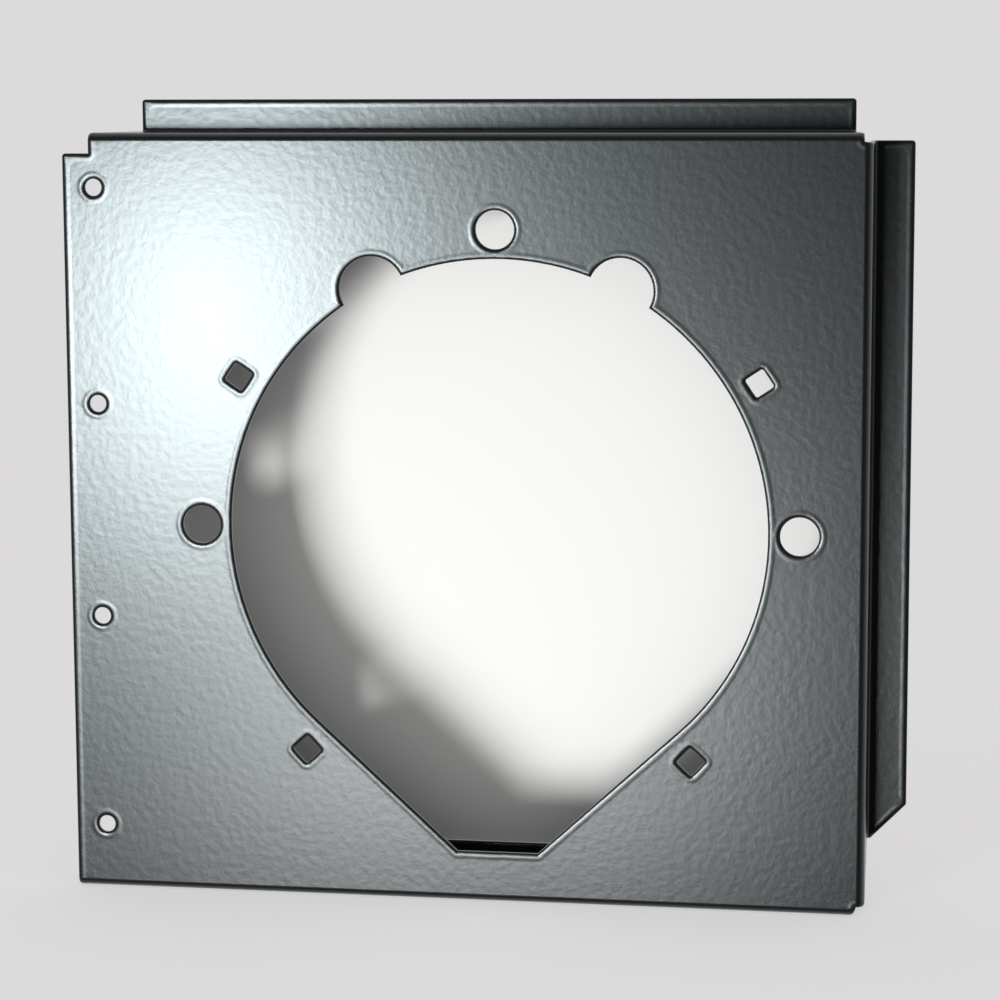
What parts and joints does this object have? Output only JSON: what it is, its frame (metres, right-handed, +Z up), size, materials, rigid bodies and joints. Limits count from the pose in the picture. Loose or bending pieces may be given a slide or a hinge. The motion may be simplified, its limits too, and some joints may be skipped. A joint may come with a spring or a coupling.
{
  "type": "headlamp backing panel",
  "caption": "Folded sheet-steel panel with a large lamp aperture, fixing holes and return flanges, which carries a round headlamp in a vehicle's front wing.",
  "frame": {"origin": "centre of the lamp aperture, on the front of the face", "axes": "+X to the right as seen from the front, +Y into the back towards the return flanges, +Z up"},
  "size_m": [0.2949, 0.025, 0.2813],
  "materials": {
    "coated_steel": "gloss dark grey powder coat with a pebbled surface"
  },
  "bodies": {
    "root": {"backing_panel": "coated_steel"}
  },
  "joints": []
}
